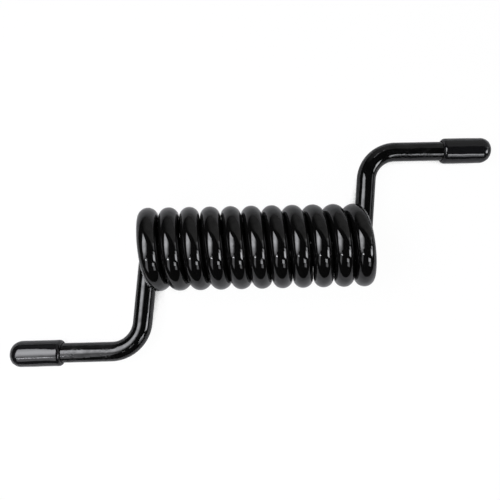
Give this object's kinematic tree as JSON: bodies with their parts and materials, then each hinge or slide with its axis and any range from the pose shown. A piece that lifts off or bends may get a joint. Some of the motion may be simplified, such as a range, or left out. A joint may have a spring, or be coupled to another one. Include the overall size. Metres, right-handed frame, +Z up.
{
  "type": "ramp door spring",
  "caption": "Close-wound round-wire torsion spring for a ramp door, with opposed legs bent into parallel tips that carry push-on end caps.",
  "frame": {"origin": "middle of the coil, on the axis of the hinge rod that it slides over", "axes": "+X along the coil's axis, towards the leg that winds up with the door; +Y the way that leg leaves the coil; +Z up, away from the side that both legs leave from"},
  "size_m": [0.3332, 0.1518, 0.0565],
  "materials": {
    "wire": "gloss black powder coat over spring steel",
    "cap": "satin black soft vinyl"
  },
  "bodies": {
    "frame_side": {"coil": "wire", "left_leg": "wire", "left_cap": "cap"},
    "door_side": {"right_leg": "wire", "right_cap": "cap"}
  },
  "joints": [
    {"name": "wind_up", "type": "hinge", "parent": "frame_side", "child": "door_side", "pos_m": [0, 0, 0], "axis": [1, 0, 0], "range_deg": [0, 90], "stiffness_Nm_per_rad": 180, "deforming": ["coil"]}
  ]
}
